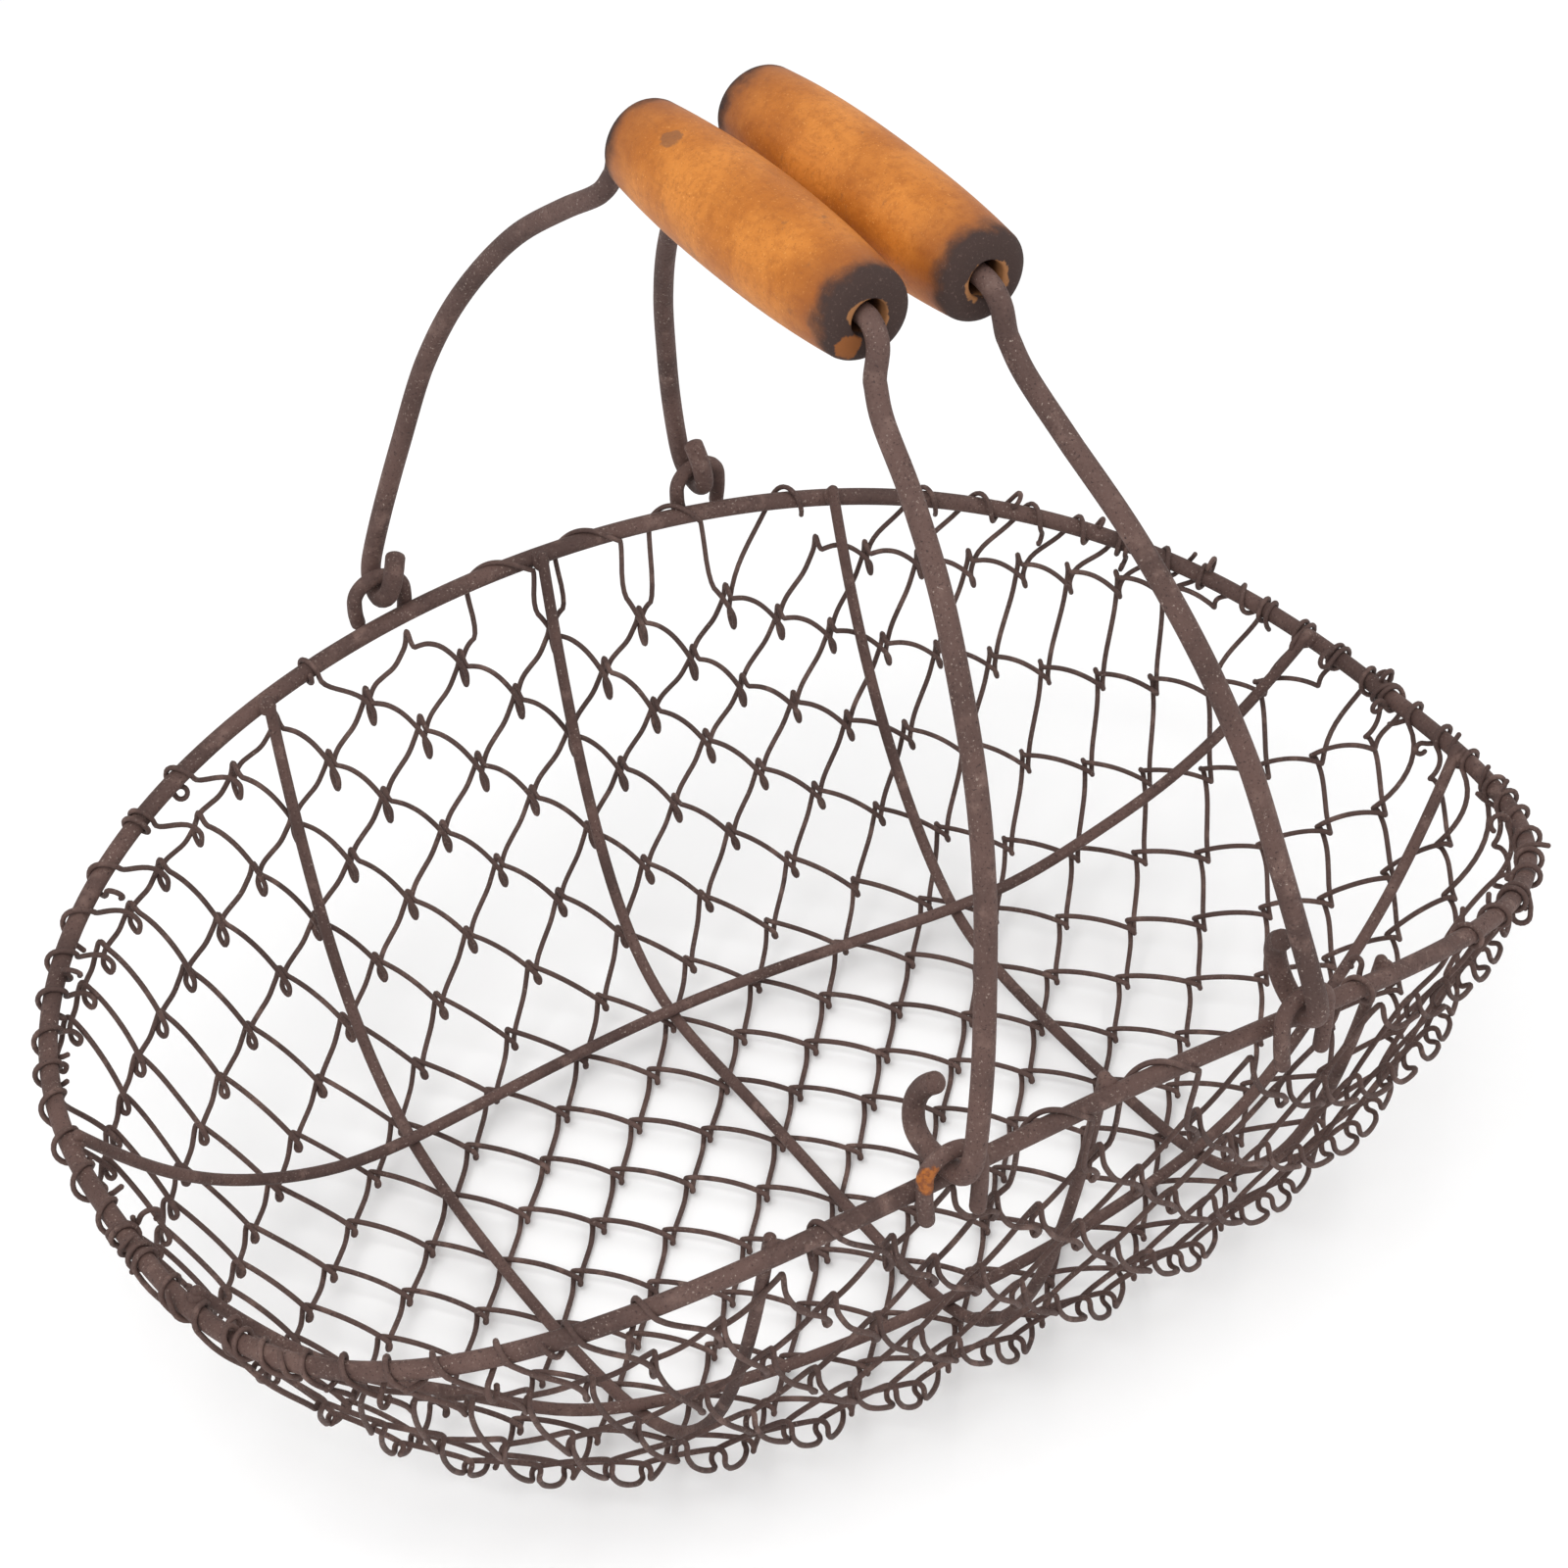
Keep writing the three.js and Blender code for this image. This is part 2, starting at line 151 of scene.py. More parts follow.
def bowl_normal(x, y):
    """Unit normals of the bowl, in and up, from central differences of its height."""
    step = 1e-5
    slope_x = (bowl_height(x + step, y) - bowl_height(x - step, y)) / (2 * step)
    slope_y = (bowl_height(x, y + step) - bowl_height(x, y - step)) / (2 * step)
    return unit(np.stack([-slope_x, -slope_y, np.ones_like(slope_x)], axis=-1))


def bowl_point(x, y, inwards):
    """Points of the bowl, moved inwards along its normals."""
    surface = np.stack([x, y, bowl_height(x, y)], axis=-1)
    return surface + bowl_normal(x, y) * np.reshape(inwards, (-1, 1))


def rim_half_width(x):
    """Half the basket's width on the rim's centre line."""
    along = np.minimum(1, np.abs(x / RIM_HALF_LENGTH)) ** RIM_ROUNDNESS
    return RIM_HALF_WIDTH * (1 - along) ** (1 / RIM_ROUNDNESS)


def rim_line(count):
    """The rim's centre line at equal distances: the superellipse turned into arc length."""
    angle = np.linspace(0, 2 * math.pi, 7201)
    power = 2 / RIM_ROUNDNESS
    x = RIM_HALF_LENGTH * np.sign(np.cos(angle)) * np.abs(np.cos(angle)) ** power
    y = RIM_HALF_WIDTH * np.sign(np.sin(angle)) * np.abs(np.sin(angle)) ** power
    dense = np.stack([x, y, rim_height(x)], axis=-1)
    steps = np.linalg.norm(np.diff(dense, axis=0), axis=1)
    length = np.concatenate([[0], np.cumsum(steps)])
    places = np.linspace(0, length[-1], count, endpoint=False)
    return np.stack([np.interp(places, length, dense[:, k]) for k in range(3)], -1), length[-1]


RIM_TABLE, RIM_LENGTH = rim_line(1440)


def rim_frame(distance):
    """Centre, tangent, outward and upward directions of the rim at distances along it."""
    place = np.mod(distance, RIM_LENGTH) / RIM_LENGTH * len(RIM_TABLE)
    index = np.arange(len(RIM_TABLE) + 1)
    closed = np.vstack([RIM_TABLE, RIM_TABLE[:1]])
    ahead = unit(np.roll(RIM_TABLE, -2, 0) - np.roll(RIM_TABLE, 2, 0))
    ahead = np.vstack([ahead, ahead[:1]])
    centre = np.stack([np.interp(place, index, closed[:, k]) for k in range(3)], -1)
    tangent = unit(np.stack([np.interp(place, index, ahead[:, k]) for k in range(3)], -1))
    out = unit(np.cross(tangent, UP))
    return centre, tangent, out, np.cross(out, tangent)


# ------------------------------------------------------------------------ wires


def smooth(points, rounds):
    """Cuts every corner of an open line at a quarter and three quarters, several times."""
    for _ in range(rounds):
        near = points[:-1] * 0.75 + points[1:] * 0.25
        far = points[:-1] * 0.25 + points[1:] * 0.75
        cut = np.stack([near, far], axis=1).reshape(-1, points.shape[1])
        points = np.vstack([points[:1], cut, points[-1:]])
    return points


def spline(points, count):
    """A Catmull-Rom curve through points, with the same number of steps in each span."""
    points = np.asarray(points, float)
    padded = np.vstack([2 * points[0] - points[1], points, 2 * points[-1] - points[-2]])
    t = np.linspace(0, 1, count, endpoint=False)[None, :, None]
    a, b, c, d = (padded[k : len(padded) - 3 + k, None, :] for k in range(4))
    curve = b + t * (c - a) / 2 + t**2 * (a - 2.5 * b + 2 * c - d / 2)
    curve = curve + t**3 * (1.5 * (b - c) + (d - a) / 2)
    return np.vstack([curve.reshape(-1, points.shape[1]), points[-1:]])


def sideways(path, closed):
    """Tangents of a path, and two directions square to it that are carried along untwisted."""
    ahead = np.roll(path, -1, 0) - path
    if not closed:
        ahead[-1] = ahead[-2]
    ahead = unit(ahead)
    behind = np.roll(ahead, 1, 0)
    if not closed:
        behind[0] = ahead[0]
    tangents = unit(ahead + behind)
    side = np.cross(tangents[0], UP if abs(tangents[0][2]) < 0.9 else np.array([1.0, 0, 0]))
    sides = np.empty_like(path)
    for i, tangent in enumerate(tangents):
        side = side - tangent * side.dot(tangent)
        side = side / np.linalg.norm(side)
        sides[i] = side
    if closed:
        sides = untwisted(tangents, sides)
    return tangents, sides, np.cross(tangents, sides)


def untwisted(tangents, sides):
    """Turns the side directions of a closed path evenly, so that the last meets the first."""
    carried = sides[-1] - tangents[0] * sides[-1].dot(tangents[0])
    sine = np.cross(sides[0], carried).dot(tangents[0])
    gap = math.atan2(sine, sides[0].dot(carried))
    turn = (-gap * np.arange(len(sides)) / len(sides))[:, None]
    return sides * np.cos(turn) + np.cross(tangents, sides) * np.sin(turn)


# Latitudes of the rings that round off a wire's free end.
DOME = np.radians([22.5, 45.0, 67.5, 82.0])


def wire_mesh(name, path, radius, around, closed=False, dome_share=0.9):
    """A round wire along a path: a circle on every point of the path, and at each free end
    an elliptical dome whose height is the given share of the wire's radius."""
    radii = np.full(len(path), radius)
    tangents, sides, ups = sideways(path, closed)
    centres = path
    dome_height = radius * dome_share
    if not closed:
        start = path[0] - tangents[0] * (dome_height * np.sin(DOME))[::-1, None]
        finish = path[-1] + tangents[-1] * (dome_height * np.sin(DOME))[:, None]
        centres = np.vstack([start, path, finish])
        shrink = np.cos(DOME)
        radii = np.concatenate([radius * shrink[::-1], radii, radius * shrink])
        rings = len(DOME)
        sides = np.vstack([np.repeat(sides[:1], rings, 0), sides, np.repeat(sides[-1:], rings, 0)])
        ups = np.vstack([np.repeat(ups[:1], rings, 0), ups, np.repeat(ups[-1:], rings, 0)])
    angle = np.linspace(0, 2 * math.pi, around, endpoint=False)[None, :, None]
    ring = np.cos(angle) * sides[:, None] + np.sin(angle) * ups[:, None]
    vertices = (centres[:, None] + radii[:, None, None] * ring).reshape(-1, 3)
    rows = len(centres)
    faces = grid_faces(rows, around, closed)
    if not closed:
        poles = np.array([
            path[0] - tangents[0] * dome_height,
            path[-1] + tangents[-1] * dome_height,
        ])
        vertices = np.vstack([vertices, poles])
        faces = faces + fan_faces(0, around, rows * around, True)
        faces = faces + fan_faces((rows - 1) * around, around, rows * around + 1, False)
    return make_object(name, vertices, faces)


def grid_faces(rows, around, closed):
    """Quads between neighbouring rings of vertices, facing away from the path."""
    last = rows if closed else rows - 1
    i = np.arange(last)[:, None]
    j = np.arange(around)[None, :]
    here = i * around
    there = ((i + 1) % rows) * around
    beside = (j + 1) % around
    quads = np.stack([here + j, here + beside, there + beside, there + j], axis=-1)
    return quads.reshape(-1, 4).tolist()


def fan_faces(first, around, pole, is_start):
    """Triangles from one ring to a pole."""
    j = np.arange(around)
    here, beside = first + j, first + (j + 1) % around
    order = [beside, here] if is_start else [here, beside]
    return np.stack([*order, np.full(around, pole)], axis=-1).tolist()


def make_object(name, vertices, faces):
    """A smooth-shaded mesh object at the origin."""
    mesh = bpy.data.meshes.new(name)
    mesh.from_pydata(np.asarray(vertices, float).tolist(), [], faces)
    mesh.update()
    mesh.polygons.foreach_set("use_smooth", np.ones(len(mesh.polygons), bool))
    piece = bpy.data.objects.new(name, mesh)
    bpy.context.scene.collection.objects.link(piece)
    return piece


def joined(name, lumps):
    """One mesh object from several (vertices, faces) pairs."""
    faces = []
    base = 0
    for vertices, lump_faces in lumps:
        faces += [[base + v for v in face] for face in lump_faces]
        base += len(vertices)
    return make_object(name, np.vstack([vertices for vertices, _ in lumps]), faces)


def place_piece(piece, body, material, slot, *nodes):
    """Gives a finished piece its body and its finish, and hides the CAD nodes it stands for."""
    piece.data.materials.append(material)
    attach(piece, body)
    if nodes:
        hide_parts(*nodes)


def wander(x, y, size):
    """A smooth unevenness of a hand-made piece: three slow waves over the plan, as offsets
    in x and y that reach about the given size."""
    u = np.sin(31 * x + 17 * y + 0.4) + 0.7 * np.sin(-23 * x + 41 * y + 2.1)
    v = np.sin(27 * x - 37 * y + 1.3) + 0.7 * np.sin(49 * x + 13 * y + 0.2)
    u = u + 0.5 * np.sin(67 * x + 5 * y + 1.0)
    return size * u / 2.2, size * v / 1.7


# -------------------------------------------------------------------- materials

# Colours as linear red, green and blue. The sandy brown paint on all the wires:
PAINT = (0.112, 0.0645, 0.054)
PAINT_SHADE = (0.068, 0.039, 0.033)
PAINT_WORN = (0.150, 0.092, 0.077)
PAINT_PIT = (0.045, 0.028, 0.026)
SAND = (0.34, 0.27, 0.23)
THIN_PAINT = (0.094, 0.055, 0.046)
THIN_SAND = (0.22, 0.165, 0.14)
RUST_BRIGHT = (0.36, 0.115, 0.022)
RUST_DARK = (0.20, 0.062, 0.020)
# The stained wood of the grips, with its dark ends:
STAIN_PALE = (0.60, 0.212, 0.032)
STAIN_DEEP = (0.44, 0.136, 0.015)
STREAK = (0.30, 0.088, 0.012)
MOTTLE = (0.31, 0.088, 0.010)
WOOD_FLECK = (0.80, 0.36, 0.09)
WOOD_PORE = (0.22, 0.07, 0.012)
SMUDGE = (0.20, 0.085, 0.030)
BURNT_EDGE = (0.24, 0.066, 0.014)
END_DARK = (0.046, 0.027, 0.023)
END_FLECK = (0.13, 0.085, 0.072)
HOLE_RING = (0.34, 0.15, 0.055)
# The next colour is painted shade deep inside the grip's hole, not the wood's own colour.
PAINTED_BORE_SHADE = (0.09, 0.035, 0.014)
BARE_WOOD = (0.30, 0.100, 0.024)
GRIME = (0.14, 0.068, 0.038)

# Sizes of the patterns, as noise scales per metre.
SAND_SCALE = 1500
WOOD_GRAIN_SCALE = 620
WOOD_FLECK_SCALE = 1700

SPECULAR_LEVEL = 0.28
BUMP_DEPTH = 0.0002
RUST_REACH = 0.0042
BARE_REACH = 0.0038
GRIME_REACH = 0.0034


def new_group(name, inputs, outputs):
    """An empty shader node group with named sockets, as (tree, input node, output node)."""
    tree = bpy.data.node_groups.new(name, "ShaderNodeTree")
    for socket_name, kind, value in inputs:
        socket = tree.interface.new_socket(socket_name, in_out="INPUT", socket_type=kind)
        socket.default_value = value
    for socket_name, kind in outputs:
        tree.interface.new_socket(socket_name, in_out="OUTPUT", socket_type=kind)
    return tree, tree.nodes.new("NodeGroupInput"), tree.nodes.new("NodeGroupOutput")


def noise(tree, vector, scale, detail, roughness=0.6):
    """A noise texture's value over a coordinate socket."""
    node = tree.nodes.new("ShaderNodeTexNoise")
    node.inputs["Scale"].default_value = scale
    node.inputs["Detail"].default_value = detail
    node.inputs["Roughness"].default_value = roughness
    tree.links.new(vector, node.inputs["Vector"])
    return node.outputs["Fac"]


def remap(tree, value, low, high, to_low=0.0, to_high=1.0):
    """A value stretched smoothly from one range to another, and held at its ends."""
    node = tree.nodes.new("ShaderNodeMapRange")
    node.interpolation_type = "SMOOTHSTEP"
    limits = {"From Min": low, "From Max": high, "To Min": to_low, "To Max": to_high}
    for socket, number in limits.items():
        node.inputs[socket].default_value = number
    tree.links.new(value, node.inputs["Value"])
    return node.outputs["Result"]


def maths(tree, operation, a, b):
    """A maths node over two sockets or numbers."""
    node = tree.nodes.new("ShaderNodeMath")
    node.operation = operation
    for socket, value in zip(node.inputs, (a, b)):
        if isinstance(value, (int, float)):
            socket.default_value = value
        else:
            tree.links.new(value, socket)
    return node.outputs["Value"]


def mix(tree, share, a, b):
    """Two colours mixed by a share; each colour is a socket or three numbers."""
    node = tree.nodes.new("ShaderNodeMix")
    node.data_type = "RGBA"
    tree.links.new(share, node.inputs["Factor"])
    for name, value in (("A", a), ("B", b)):
        socket = next(s for s in node.inputs if s.name == name and s.type == "RGBA")
        if isinstance(value, tuple):
            socket.default_value = (*value, 1.0)
        else:
            tree.links.new(value, socket)
    return next(s for s in node.outputs if s.type == "RGBA")


def patch(tree, vector, centre, reach):
    """The mask of a ragged patch round a point."""
    away = tree.nodes.new("ShaderNodeVectorMath")
    away.operation = "DISTANCE"
    tree.links.new(vector, away.inputs[0])
    tree.links.new(centre, away.inputs[1])
    share = maths(tree, "DIVIDE", away.outputs["Value"], reach)
    ragged = maths(tree, "ADD", share, maths(tree, "MULTIPLY", noise(tree, vector, 520, 4), 0.9))
    return remap(tree, ragged, 1.35, 1.15)


FINISH_OUTPUTS = [
    ("Color", "NodeSocketColor"),
    ("Roughness", "NodeSocketFloat"),
    ("Height", "NodeSocketFloat"),
]
# Where a patch's centre is when a piece has no such patch.
FAR_AWAY = (0, 0, -1)


def sandy_paint_group():
    """Matt paint with sand in it: pale grains, dark pits and slow patches, with a rusty
    patch round a given point."""
    tree, inside, outside = new_group(
        "sandy_paint",
        [
            ("Vector", "NodeSocketVector", (0, 0, 0)),
            ("Paint", "NodeSocketColor", (*PAINT, 1)),
            ("Grain", "NodeSocketColor", (*SAND, 1)),
            ("Rust Centre", "NodeSocketVector", FAR_AWAY),
        ],
        FINISH_OUTPUTS,
    )
    vector = inside.outputs["Vector"]
    slow = remap(tree, noise(tree, vector, 38, 4), 0.35, 0.68)
    dark = mix(tree, slow, inside.outputs["Paint"], PAINT_SHADE)
    worn = remap(tree, noise(tree, vector, 160, 4), 0.52, 0.72)
    patchy = mix(tree, worn, dark, PAINT_WORN)
    grain = noise(tree, vector, SAND_SCALE, 2, 0.7)
    speck = remap(tree, grain, 0.63, 0.70)
    sparse = remap(tree, noise(tree, vector, 95, 3), 0.40, 0.62, 0.12, 0.9)
    speckled = mix(tree, maths(tree, "MULTIPLY", speck, sparse), patchy, inside.outputs["Grain"])
    pitted = mix(tree, remap(tree, grain, 0.40, 0.30), speckled, PAINT_PIT)
    rust = patch(tree, vector, inside.outputs["Rust Centre"], RUST_REACH)
    rust_tone = remap(tree, noise(tree, vector, 800, 3), 0.4, 0.62)
    rusty = mix(tree, rust, pitted, mix(tree, rust_tone, RUST_BRIGHT, RUST_DARK))
    rough = remap(tree, grain, 0.3, 0.7, 0.82, 0.62)
    tree.links.new(rusty, outside.inputs["Color"])
    tree.links.new(rough, outside.inputs["Roughness"])
    coarse = maths(tree, "MULTIPLY", noise(tree, vector, 420, 3), 0.8)
    tree.links.new(maths(tree, "ADD", grain, coarse), outside.inputs["Height"])
    return tree


def shaded(name, group, bump):
    """A material around a node group's colour, roughness and height, on object coordinates,
    with the group's node, whose inputs set this material's own values."""
    material = bpy.data.materials.new(name)
    material.use_nodes = True
    tree = material.node_tree
    shader = tree.nodes["Principled BSDF"]
    shader.inputs["Specular IOR Level"].default_value = SPECULAR_LEVEL
    coordinates = tree.nodes.new("ShaderNodeTexCoord")
    effect = tree.nodes.new("ShaderNodeGroup")
    effect.node_tree = group
    tree.links.new(coordinates.outputs["Object"], effect.inputs["Vector"])
    tree.links.new(effect.outputs["Color"], shader.inputs["Base Color"])
    tree.links.new(effect.outputs["Roughness"], shader.inputs["Roughness"])
    relief = tree.nodes.new("ShaderNodeBump")
    relief.inputs["Strength"].default_value = bump
    relief.inputs["Distance"].default_value = BUMP_DEPTH
    tree.links.new(effect.outputs["Height"], relief.inputs["Height"])
    tree.links.new(relief.outputs["Normal"], shader.inputs["Normal"])
    return material, effect


def stained_wood_group():
    """Stained wood along Y: slow tones, fine streaks, mottles, flecks and smudges, with
    dark ends whose edge is ragged, a bare ring round the hole, and a bare patch and a
    grimy spot round two given points. Deep inside the hole the colour darkens to painted shade."""
    tree, inside, outside = new_group(
        "stained_wood",
        [
            ("Vector", "NodeSocketVector", (0, 0, 0)),
            ("From End", "NodeSocketFloat", 1.0),
            ("From Axis", "NodeSocketFloat", 1.0),
            ("Bare Centre", "NodeSocketVector", FAR_AWAY),
            ("Grime Centre", "NodeSocketVector", FAR_AWAY),
        ],
        FINISH_OUTPUTS,
    )
    vector = inside.outputs["Vector"]
    stretched = tree.nodes.new("ShaderNodeMapping")
    stretched.inputs["Scale"].default_value = (1.0, 0.13, 1.0)
    tree.links.new(vector, stretched.inputs["Vector"])
    along = stretched.outputs["Vector"]
    slow = remap(tree, noise(tree, vector, 55, 3), 0.36, 0.66)
    stain = mix(tree, slow, STAIN_PALE, STAIN_DEEP)
    grain = noise(tree, along, WOOD_GRAIN_SCALE, 4, 0.65)
    streaked = mix(tree, remap(tree, grain, 0.50, 0.78, 0.0, 0.35), stain, STREAK)
    mottle = remap(tree, noise(tree, vector, 480, 5, 0.75), 0.44, 0.66, 0.0, 0.42)
    mottled = mix(tree, mottle, streaked, MOTTLE)
    fine = noise(tree, vector, WOOD_FLECK_SCALE, 2, 0.7)
    speckled = mix(tree, remap(tree, fine, 0.62, 0.72, 0.0, 0.5), mottled, WOOD_FLECK)
    pores = mix(tree, remap(tree, fine, 0.36, 0.27, 0.0, 0.65), speckled, WOOD_PORE)
    smudge = remap(tree, noise(tree, vector, 105, 5, 0.72), 0.60, 0.72, 0.0, 0.7)
    smudged = mix(tree, smudge, pores, SMUDGE)
    raggedness = maths(tree, "SUBTRACT", noise(tree, vector, 150, 4, 0.6), 0.5)
    edge = maths(tree, "MULTIPLY", raggedness, 0.008)
    from_end = maths(tree, "ADD", inside.outputs["From End"], edge)
    burnt = mix(tree, remap(tree, from_end, 0.019, 0.003, 0.0, 0.7), smudged, BURNT_EDGE)
    dark_end = mix(tree, remap(tree, fine, 0.58, 0.80), END_DARK, END_FLECK)
    ended = mix(tree, remap(tree, from_end, 0.0072, 0.0014), burnt, dark_end)
    from_axis = maths(tree, "SUBTRACT", inside.outputs["From Axis"], edge)
    ring_high, ring_low = GRIP_HOLE_RADIUS + 0.0008, GRIP_HOLE_RADIUS + 0.0002
    ringed = mix(tree, remap(tree, from_axis, ring_high, ring_low, 0.0, 0.85), ended, HOLE_RING)
    bare = patch(tree, vector, inside.outputs["Bare Centre"], BARE_REACH)
    bared = mix(tree, maths(tree, "MULTIPLY", bare, 0.8), ringed, BARE_WOOD)
    grime = patch(tree, vector, inside.outputs["Grime Centre"], GRIME_REACH)
    grimy = mix(tree, maths(tree, "MULTIPLY", grime, 0.55), bared, GRIME)
    # Painted shade: inside the hole the wood darkens with depth from the end.
    bore_shade_depth = remap(tree, inside.outputs["From End"], 0.0016, 0.004)
    narrow = remap(tree, inside.outputs["From Axis"], 0.0050, 0.0042)
    finished = mix(tree, maths(tree, "MULTIPLY", bore_shade_depth, narrow), grimy, PAINTED_BORE_SHADE)
    tree.links.new(finished, outside.inputs["Color"])
    rough = remap(tree, from_end, 0.0022, 0.0055, 0.85, 0.52)
    tree.links.new(rough, outside.inputs["Roughness"])
    relief = maths(tree, "ADD", fine, maths(tree, "MULTIPLY", grain, 0.8))
    tree.links.new(relief, outside.inputs["Height"])
    return tree


def attribute_to(material, effect, attribute, socket):
    """Feeds one of a mesh's own values to an effect."""
    node = material.node_tree.nodes.new("ShaderNodeAttribute")
    node.attribute_name = attribute
    material.node_tree.links.new(node.outputs["Fac"], effect.inputs[socket])


paint = sandy_paint_group()
wood = stained_wood_group()
iron, _ = shaded("brown_wire", paint, bump=0.55)
thin_iron, thin_effect = shaded("brown_mesh_wire", paint, bump=0.4)
thin_effect.inputs["Paint"].default_value = (*THIN_PAINT, 1)
thin_effect.inputs["Grain"].default_value = (*THIN_SAND, 1)


# ------------------------------------------------------------------ rim and ribs


def build_rim():
    """The hoop: a circle swept round the rim's centre line, a little uneven."""
    line, _ = rim_line(420)
    dx, dy = wander(line[:, 0], line[:, 1], 0.0004)
    line = line + np.stack([dx, dy, 0.6 * dx], axis=-1)
    hoop = wire_mesh("rim", line, RIM_RADIUS, around=20, closed=True)
    place_piece(hoop, "basket", iron, "brown_wire", "rim_hoop")


RIB_INSET = RIM_RADIUS + RIB_RADIUS


def with_tips(path, tip):
    """Adds straight tips to both ends of a path."""
    first = path[0] + unit(path[0] - path[1]) * tip
    last = path[-1] + unit(path[-1] - path[-2]) * tip
    return np.vstack([first, path, last])


def rib_places(reach, count=90):
    """Places from one end to the other that lie closer together near the ends."""
    return reach * np.sin(np.linspace(-math.pi / 2, math.pi / 2, count))


def bump_at(values, middle, width):
    """A bell curve of height 1 over a value."""
    return np.exp(-(((values - middle) / width) ** 2))


def cross_rib_path(x):
    """A cross rib follows the bowl at one x from rim to rim, with a slow wave. The right one
    is bent, out towards its back end and in at the middle."""
    y = rib_places(rim_half_width(x))
    xs = np.full_like(y, x) + 0.0007 * np.sin(38 * y + 90 * x)
    if x > 0:
        xs = xs + 0.0050 * bump_at(y, 0.085, 0.034) - 0.0020 * bump_at(y, 0, 0.05)
    return with_tips(bowl_point(xs, y, np.full_like(y, RIB_INSET)), RIB_TIP)


def long_rib_y(x, side):
    """A long rib bows outwards in plan as a parabola."""
    bow = (LONG_RIB_MIDDLE_Y - LONG_RIB_END_Y) * (x / RIM_HALF_LENGTH) ** 2
    return side * (LONG_RIB_MIDDLE_Y - bow)


# How far each end of the front (-1) and back (1) long rib stands off the bowl.
LONG_RIB_STRAIN = {-1: (0.0040, 0.0020), 1: (0.0025, 0.0060)}


def long_rib_reach():
    """How far along the basket a long rib gets before it is under the rim."""
    x = np.linspace(0, RIM_HALF_LENGTH, 4001)
    return x[np.argmax(plan_radius(x, long_rib_y(x, 1)) > 1)]


def long_rib_path(side):
    """A long rib follows the bowl on top of the cross ribs."""
    reach = long_rib_reach()
    x = rib_places(reach, 110)
    lift = 2 * RIB_RADIUS * (1 - np.abs(x / reach) ** 8)
    strain = LONG_RIB_STRAIN[side][0] * (x < 0) + LONG_RIB_STRAIN[side][1] * (x > 0)
    lift = lift + strain * bump_at(np.abs(x), 0.128, 0.024)
    y = long_rib_y(x, side) + 0.0006 * np.sin(33 * x + side)
    return with_tips(bowl_point(x, y, RIB_INSET + lift), RIB_TIP)


def blob(centre, axes, turn):
    """A lump of weld: a ball stretched along three axes, its radius rippled by waves."""
    rows, around = 10, 16
    polar = np.linspace(0, math.pi, rows + 2)[1:-1, None]
    angle = np.linspace(0, 2 * math.pi, around, endpoint=False)[None, :]
    ripple = 1 + 0.09 * np.sin(3 * angle + turn) * np.sin(2 * polar + turn)
    ball = np.stack([
        ripple * np.sin(polar) * np.cos(angle),
        ripple * np.sin(polar) * np.sin(angle),
        -ripple * np.cos(polar) * np.ones_like(angle),
    ], axis=-1).reshape(-1, 3)
    ball = np.vstack([ball, [[0, 0, -1], [0, 0, 1]]])
    faces = grid_faces(rows, around, False)
    faces += fan_faces(0, around, rows * around, True)
    faces += fan_faces((rows - 1) * around, around, rows * around + 1, False)
    return centre + ball @ np.array(axes), faces


def build_ribs():
    """The five ribs, and the lumps of weld where each meets the rim."""
    lumps = []
    paths = {
        "cross_rib_left": cross_rib_path(-CROSS_RIB_X),
        "cross_rib_middle": cross_rib_path(0.0),
        "cross_rib_right": cross_rib_path(CROSS_RIB_X),
        "long_rib_front": long_rib_path(-1),
        "long_rib_back": long_rib_path(1),
    }
    for count, (node, path) in enumerate(paths.items()):
        rib = wire_mesh(node + "_wire", path, RIB_RADIUS, around=14)
        place_piece(rib, "basket", iron, "brown_wire", node)
        for end in (0, -1):
            touch = path[1 if end == 0 else -2]
            nearest = RIM_TABLE[np.argmin(np.linalg.norm(RIM_TABLE - touch, axis=1))]
            centre = (touch * 1.25 + nearest * 0.75) / 2
            along = unit(path[end] - touch)
            inward = unit(touch - nearest)
            beside = np.cross(along, inward)
            axes = [beside * 0.0023, inward * 0.0021, along * 0.0026]
            lumps.append(blob(centre, axes, count + end))
    welds = joined("rib_welds", lumps)
    place_piece(welds, "basket", iron, "brown_wire")


# ---------------------------------------------------------------- staples, bails


def joint_place(name):
    """A joint's position in the frame."""
    return np.array(next(j for j in frame["joints"] if j["name"] == name)["pos_m"], float)


def build_staple(node, end, side, material):
    """A staple: a half-round arch on two straight legs that stand beside the rim."""
    low, high = node_box(node)
    pivot = joint_place("right_bail_swing" if end > 0 else "left_bail_swing")
    middle_y = (low[1] + high[1]) / 2 - side * 0.0004
    angle = np.linspace(math.pi, 0, 19)
    x = pivot[0] + STAPLE_HALF_WIDTH * np.cos(angle)
    z = pivot[2] + STAPLE_RISE * np.sin(angle)
    foot = rim_height(pivot[0]) - (STAPLE_LEG if side < 0 else 0.001)
    x = np.concatenate([[x[0] + 0.0006, x[0]], x, [x[-1], x[-1] - 0.0006]])
    z = np.concatenate([[foot, (foot + z[0]) / 2], z, [(foot + z[-1]) / 2, foot - 0.0012]])
    lean = np.linspace(-0.5, 0.5, len(x)) * 0.0016 * end
    path = smooth(np.stack([x, middle_y + lean, z], axis=-1), 2)
    arch = wire_mesh(node + "_wire", path, STAPLE_RADIUS, around=16)
    place_piece(arch, "basket", material, "brown_wire", node)


